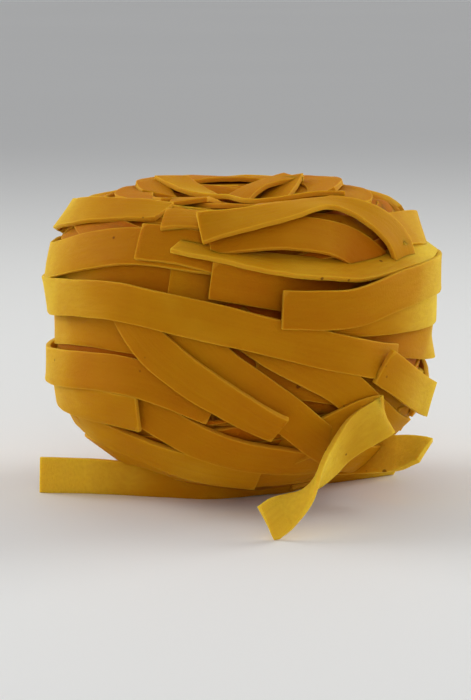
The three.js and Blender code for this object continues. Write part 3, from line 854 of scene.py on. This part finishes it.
# painted light: loose ends clear of the nest and ribbons on the flanks are painted paler as a glow,
# ribbons lying deep are painted deeper as shade
PAINTED_BACKLIGHT = 0.8  # how much paler a loose end is where it stands clear of the nest
CLEAR_OF_NEST = 14  # mm
PAINTED_FLANK_GLOW = 0.34  # how much paler a ribbon is where it springs round the nest's flanks
LYING_DEEP = 1.5  # mm under the outline, from where a ribbon is deeper in colour
PAINTED_INSIDE_SHADE = 0.36  # how much deeper in colour a ribbon is that lies on the body
FLANK_POWER, CLEAR_POWER = 6, 1.5  # the higher, the later a ribbon turns paler

# Ribbons that are wound at random under the ones in the tables, in degrees
INNER = {"count": 56, "tilts": (2, 24), "latitudes": (-55, 45), "spans": (150, 330)}
SWIRL = {"count": 16, "tilts": (2, 16), "latitudes": (48, 76), "spans": (140, 300)}
DEEPEST, RAISED = 1.2, 0.6  # mm from the first of them to the last, and how far the last comes out
# Ribbons that close wide gaps low on the back and the flanks: mm over the body, angles and start
CLOSING = ((1.6, (2, -21, 232), -46), (2.2, (-1, -25, 150), -20))
RING_STOPS = 13
NO_AXIS_WAY = (0.3, -0.9, 0.2)  # a direction that no ribbon's axis comes near


def wander(length, rng, amplitude, shortest):
    """A smooth random wave along a ribbon, in the unit of its amplitude."""
    turn = 2 * math.pi
    return sum(
        amplitude * height * np.sin(turn * length / (shortest * wave) + rng.uniform(0, turn))
        for wave, height in WAVES
    )


def eased(ribbons):
    """Wound ribbons without the sharp kinks that stiff dough wouldn't take."""
    for _ in range(EASING_PASSES):
        ribbons = [{side: averaged(old[side]) for side in ("left", "right")} for old in ribbons]
    return ribbons


def ribbon_points(ribbon, sizes, rng, shape, fine):
    """A ribbon's lower face as rows of points across it, with how far along it each row is."""
    count = len(ribbon["left"])
    at = np.linspace(0, count - 1, (count - 1) * fine + 1)
    left, right = smooth_line(ribbon["left"], at), smooth_line(ribbon["right"], at)
    middle = (left + right) / 2
    along = np.concatenate([[0], np.cumsum(np.linalg.norm(np.diff(middle, axis=0), axis=1))])
    across = unit(right - left)
    before, after = neighbours(middle)
    outward = unit(np.cross(after - before, across))
    half = sizes.ribbon_width / MM / 2 * (1 + wander(along, rng, *WIDTH_STRAY))
    t = np.linspace(-1, 1, ACROSS + 1)
    cup = shape * sizes.cupping / MM * (rng.uniform(*CUP_RANGE) + wander(along, rng, *CUP_STRAY))
    bow = np.abs(cup)[:, None] * np.where(cup[:, None] > 0, 1 - t**2, t**2)
    edges = wander(along, rng, shape * sizes.twist / MM, TWIST_WAVE)[:, None] * t
    edges = edges + wander(along, rng, sizes.ripple / MM, RIPPLE_WAVE)[:, None] * t**4
    points = middle[:, None] + across[:, None] * (half[:, None] * t)[..., None]
    return points + outward[:, None] * (bow + edges)[..., None], along


def painted_glow_and_shade(points):
    """Painted light at points on a ribbon: paler as a painted glow where light comes through,
    deeper as painted shade where it lies deep.
    """
    arms = points - CENTRE
    clear = np.linalg.norm(arms, axis=1) - outline_reach(unit(arms))
    deep = np.clip((-clear - LYING_DEEP) / (BODY_DEPTH - LYING_DEEP), 0, 1)
    flank = np.clip(np.abs(points[:, 0]) / NEST_RADIUS, 0, 1) ** FLANK_POWER
    outside = np.clip(clear / CLEAR_OF_NEST, 0, 1) ** CLEAR_POWER
    return PAINTED_BACKLIGHT * outside + PAINTED_FLANK_GLOW * flank - PAINTED_INSIDE_SHADE * deep


def ribbon_piece(context, name, ribbons, seed, tints, shape=OUTER_SHAPE, fine=FINE):
    """One object of many ribbons: a grid for each, laid in place, thickened and rounded."""
    sizes = context.scene.nest_sizes
    rng = np.random.default_rng(seed)
    bm = bmesh.new()
    layers = {key: bm.verts.layers.float.new(key) for key in ("along", "across", "rim", "tint")}
    for ribbon in ribbons:
        points, along = ribbon_points(ribbon, sizes, rng, shape, fine)
        rows = len(points) - 1
        painted_light = painted_glow_and_shade(points[:, 0])
        tint, offset = rng.uniform(*tints), rng.uniform(*OFFSETS)
        grid = bmesh.ops.create_grid(bm, x_segments=rows, y_segments=ACROSS, size=1.0)
        for vert in grid["verts"]:
            i, j = (round((c + 1) / 2 * n) for c, n in ((vert.co.x, rows), (vert.co.y, ACROSS)))
            across = 2 * j / ACROSS - 1
            vert.co = points[i, j] * MM
            vert[layers["along"]] = along[i] + offset
            vert[layers["across"]] = across
            # rim is 1 at the ends and the edges: the mask of the painted edge highlight
            vert[layers["rim"]] = 1.0 if i in (0, rows) else abs(across)
            # the tint holds the ribbon's own tone less the painted glow and shade
            vert[layers["tint"]] = tint - painted_light[i]
    piece = new_piece(context, name, bm)
    thicken = piece.modifiers.new("thickness", "SOLIDIFY")
    thicken.thickness, thicken.offset = sizes.ribbon_thickness, 1.0
    rounding = piece.modifiers.new("edges", "BEVEL")
    rounding.width, rounding.segments = sizes.edge_round, EDGE_SEGMENTS
    rounding.limit_method, rounding.angle_limit = "ANGLE", math.radians(ROUNDED_FROM)
    settle_mesh(context, piece)
    return piece


def new_piece(context, name, bm):
    mesh = bpy.data.meshes.new(name)
    bm.to_mesh(mesh)
    bm.free()
    piece = bpy.data.objects.new(name, mesh)
    context.scene.collection.objects.link(piece)
    return piece


def settle_mesh(context, piece):
    """Applies a piece's modifiers, rests what would sink into the floor, and smooths the faces."""
    context.view_layer.update()
    evaluated = piece.evaluated_get(context.evaluated_depsgraph_get())
    mesh = bpy.data.meshes.new_from_object(evaluated)
    piece.modifiers.clear()
    rough, piece.data = piece.data, mesh
    bpy.data.meshes.remove(rough)
    for vertex in mesh.vertices:
        vertex.co.z = max(vertex.co.z, 0.0)
    mesh.shade_smooth()
    mesh.set_sharp_from_angle(angle=math.radians(SHARP_FROM))


def finish_piece(piece, material):
    piece.data.materials.append(material)
    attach(piece, "root")
    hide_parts(NODE)


def winding(context):
    sizes = context.scene.nest_sizes
    return wound(round(sizes.ribbon_width / MM, 4), round(sizes.ribbon_thickness / MM, 4))


def dough(context):
    found = bpy.data.materials.get("rolled_air_dried_egg_pasta")
    return found or rolled_egg_pasta(context.scene.nest_sizes, context.scene.nest_colours)


def body_ribbon(depths, sizes, sunk, angles, heading, start):
    """A ribbon round a tilted axis, with its upper face sunk under the body's surface."""
    width, thickness = sizes.ribbon_width / MM, sizes.ribbon_thickness / MM
    tilt, latitude, span = angles
    lean = math.sin(tilt)
    axis = np.array([lean * math.cos(heading), lean * math.sin(heading), math.cos(tilt)])
    first = unit(np.cross(axis, NO_AXIS_WAY))
    second = np.cross(axis, first)

    def on_body(arms):
        units = unit(arms)
        reach = outline_reach(units) - depth_at(depths, units) - thickness - sunk
        return units * reach[:, None] + CENTRE

    turns = np.linspace(start, start + span, RING_STOPS)[:, None]
    ring = math.cos(latitude) * (np.cos(turns) * first + np.sin(turns) * second)
    points, _ = even_line(ring + math.sin(latitude) * axis, on_body)
    before, after = neighbours(points)
    across = unit(np.cross(outward_at(points), unit(after - before)))
    left, right = (on_body(points + across * side * width / 2 - CENTRE) for side in (-1, 1))
    return {"left": left, "right": right}


def random_ribbons(context, seed, count, tilts, latitudes, spans):
    """Ribbons in laying order: each lies a little over the one before."""
    _, depths = winding(context)
    sizes, rng = context.scene.nest_sizes, np.random.default_rng(seed)
    ranges = [np.radians(r) for r in (tilts, latitudes, spans)]
    laid = []
    for i in range(count):
        sunk = DEEPEST * (1 - i / count) - RAISED
        angles = [rng.uniform(*r) for r in ranges]
        laid.append(body_ribbon(depths, sizes, sunk, angles, *rng.uniform(0, 2 * math.pi, 2)))
    return laid


def closing_ribbons(context):
    """Ribbons that close the wide gaps low down on the back and the flanks."""
    _, depths = winding(context)
    sizes = context.scene.nest_sizes
    return [
        body_ribbon(depths, sizes, -over, np.radians(angles), 0, math.radians(start))
        for over, angles, start in CLOSING
    ]


class NEST_OT_core(bpy.types.Operator):
    """Adds the shaded core that closes the gaps between the ribbons"""

    bl_idname = "nest.core"
    bl_label = "Core"

    def execute(self, context):
        _, depths = winding(context)
        gap = context.scene.nest_sizes.core_gap / MM
        bm = bmesh.new()
        sphere = bmesh.ops.create_icosphere(bm, subdivisions=CORE_SUBDIVISIONS, radius=1.0)
        for vert in sphere["verts"]:
            direction = np.array(vert.co.normalized())
            reach = outline_reach(direction) - depth_at(depths, direction) - gap
            vert.co = Vector((CENTRE + direction * reach) * MM)
        piece = new_piece(context, "winding_core", bm)
        settle_mesh(context, piece)
        finish_piece(piece, packed_egg_pasta(context.scene.nest_sizes, context.scene.nest_colours))
        return {"FINISHED"}


class NEST_OT_inner(bpy.types.Operator):
    """Winds the inner ribbons that show through the gaps"""

    bl_idname = "nest.inner"
    bl_label = "Inner ribbons"

    def execute(self, context):
        ribbons = random_ribbons(context, SEED, **INNER)
        piece = ribbon_piece(
            context, "inner_ribbons", ribbons, SEED + 1, INNER_TINTS, INNER_SHAPE, COARSE
        )
        finish_piece(piece, dough(context))
        return {"FINISHED"}


class NEST_OT_swirl(bpy.types.Operator):
    """Winds the ribbons that swirl under the crown"""

    bl_idname = "nest.swirl"
    bl_label = "Crown swirl"

    def execute(self, context):
        ribbons = random_ribbons(context, SEED + 6, **SWIRL)
        piece = ribbon_piece(
            context, "swirl_ribbons", ribbons, SEED + 7, SWIRL_TINTS, SWIRL_SHAPE
        )
        finish_piece(piece, dough(context))
        return {"FINISHED"}


class NEST_OT_crown(bpy.types.Operator):
    """Winds the ribbons over the crown and under the foot"""

    bl_idname = "nest.crown"
    bl_label = "Crown and foot"

    def execute(self, context):
        ribbons, _ = winding(context)
        wound_on = eased(ribbons["top"] + ribbons["foot"]) + closing_ribbons(context)
        piece = ribbon_piece(context, "crown_ribbons", wound_on, SEED + 2, CROWN_TINTS)
        finish_piece(piece, dough(context))
        return {"FINISHED"}


class NEST_OT_belts(bpy.types.Operator):
    """Winds the ribbons that run round the nest"""

    bl_idname = "nest.belts"
    bl_label = "Belts"

    def execute(self, context):
        belts = eased(winding(context)[0]["belts"])
        half = len(belts) // 2
        halves = (("lower_belts", belts[:half], SEED + 3), ("outer_belts", belts[half:], SEED + 4))
        for name, ribbons, seed in halves:
            finish_piece(ribbon_piece(context, name, ribbons, seed, BELT_TINTS), dough(context))
        return {"FINISHED"}


class NEST_OT_loose_ends(bpy.types.Operator):
    """Adds the three loose ends at the foot"""

    bl_idname = "nest.loose_ends"
    bl_label = "Loose ends"

    def execute(self, context):
        ribbons = winding(context)[0]["loose"]
        piece = ribbon_piece(context, "loose_ends", ribbons, SEED + 5, LOOSE_TINTS)
        finish_piece(piece, dough(context))
        return {"FINISHED"}


# ---------------------------------------------------------------------------------------------
# Stage: places and sides in metres, spreads in degrees, powers in watts
# ---------------------------------------------------------------------------------------------

FLOOR_HALF = 3.0
FLOOR_SQUARES = 8
NEST_MIDDLE = (0, 0, 0.03)
PLAIN_WHITE, WARM_WHITE = (1.0, 1.0, 1.0), (1.0, 1.0, 0.96)
LAMPS = {
    "softbox": ((-0.15, 0.40, 0.95), (0, -0.18, 0), 0.5, 60, 0.1, PLAIN_WHITE),
    "left_rim": ((-0.85, 0.35, 0.42), NEST_MIDDLE, 0.6, 70, 1.05, WARM_WHITE),
    "fill": ((0.15, -1.2, 0.4), NEST_MIDDLE, 0.5, 180, 2.1, PLAIN_WHITE),
    "right_rim": ((0.85, 0.45, 0.42), NEST_MIDDLE, 0.6, 70, 1.05, WARM_WHITE),
}
SKY_COLOUR, SKY_STRENGTH = (0.98, 0.99, 1.0, 1.0), 0.45
CAMERA_PLACE, CAMERA_TARGET = (0.0, -0.480, 0.103), (-0.0007, 0.0, 0.025)
LENS, SENSOR = 135.9, 36.0  # mm


def aimed(context, name, data, place, target):
    """Adds a light or the camera at a place, looking at its target."""
    holder = bpy.data.objects.new(name, data)
    holder.location = place
    holder.rotation_euler = (Vector(target) - Vector(place)).to_track_quat("-Z", "Y").to_euler()
    context.scene.collection.objects.link(holder)
    return holder


def area_light(context, name, place, target, side, spread, power, tone):
    lamp = bpy.data.lights.new(name, "AREA")
    lamp.shape, lamp.size, lamp.energy, lamp.color = "SQUARE", side, power, tone
    lamp.spread = math.radians(spread)
    aimed(context, name, lamp, place, target)


class NEST_OT_stage(bpy.types.Operator):
    """Adds the pale floor, the soft studio light and the camera"""

    bl_idname = "nest.stage"
    bl_label = "Stage"

    def execute(self, context):
        scene = context.scene
        bm = bmesh.new()
        bmesh.ops.create_grid(
            bm, x_segments=FLOOR_SQUARES, y_segments=FLOOR_SQUARES, size=FLOOR_HALF
        )
        floor = new_piece(context, "floor", bm)
        floor.data.materials.append(painted_board(scene.nest_colours))

        scene.world = bpy.data.worlds.new("studio")
        scene.world.use_nodes = True
        sky = scene.world.node_tree.nodes["Background"]
        sky.inputs["Color"].default_value = SKY_COLOUR
        sky.inputs["Strength"].default_value = SKY_STRENGTH
        for name, settings in LAMPS.items():
            area_light(context, name, *settings)

        # the plain view keeps the dough's own saturated yellow
        scene.view_settings.view_transform = "Standard"

        lens = bpy.data.cameras.new("camera")
        lens.lens, lens.sensor_width = LENS, SENSOR
        scene.camera = aimed(context, "camera", lens, CAMERA_PLACE, CAMERA_TARGET)
        return {"FINISHED"}


class NEST_PT_panel(bpy.types.Panel):
    """Lists the nest's sizes, colours and pieces"""

    bl_idname = "NEST_PT_panel"
    bl_label = "Tagliatelle Nest"
    bl_space_type = "VIEW_3D"
    bl_region_type = "UI"
    bl_category = "Nest"

    def draw(self, context):
        layout = self.layout
        for group in (context.scene.nest_sizes, context.scene.nest_colours):
            column = layout.column()
            for name in group.__annotations__:
                column.prop(group, name)
        for step in STEPS:
            layout.operator(step.bl_idname)


STEPS = (
    NEST_OT_core,
    NEST_OT_inner,
    NEST_OT_swirl,
    NEST_OT_crown,
    NEST_OT_belts,
    NEST_OT_loose_ends,
    NEST_OT_stage,
)
CLASSES = (NestSizes, NestColours, *STEPS, NEST_PT_panel)


def register():
    for cls in CLASSES:
        bpy.utils.register_class(cls)
    bpy.types.Scene.nest_sizes = bpy.props.PointerProperty(type=NestSizes)
    bpy.types.Scene.nest_colours = bpy.props.PointerProperty(type=NestColours)


def unregister():
    del bpy.types.Scene.nest_colours
    del bpy.types.Scene.nest_sizes
    for cls in reversed(CLASSES):
        bpy.utils.unregister_class(cls)


def main():
    register()
    bpy.ops.nest.core()
    bpy.ops.nest.inner()
    bpy.ops.nest.swirl()
    bpy.ops.nest.crown()
    bpy.ops.nest.belts()
    bpy.ops.nest.loose_ends()
    bpy.ops.nest.stage()
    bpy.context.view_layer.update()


if __name__ == "__main__":
    main()
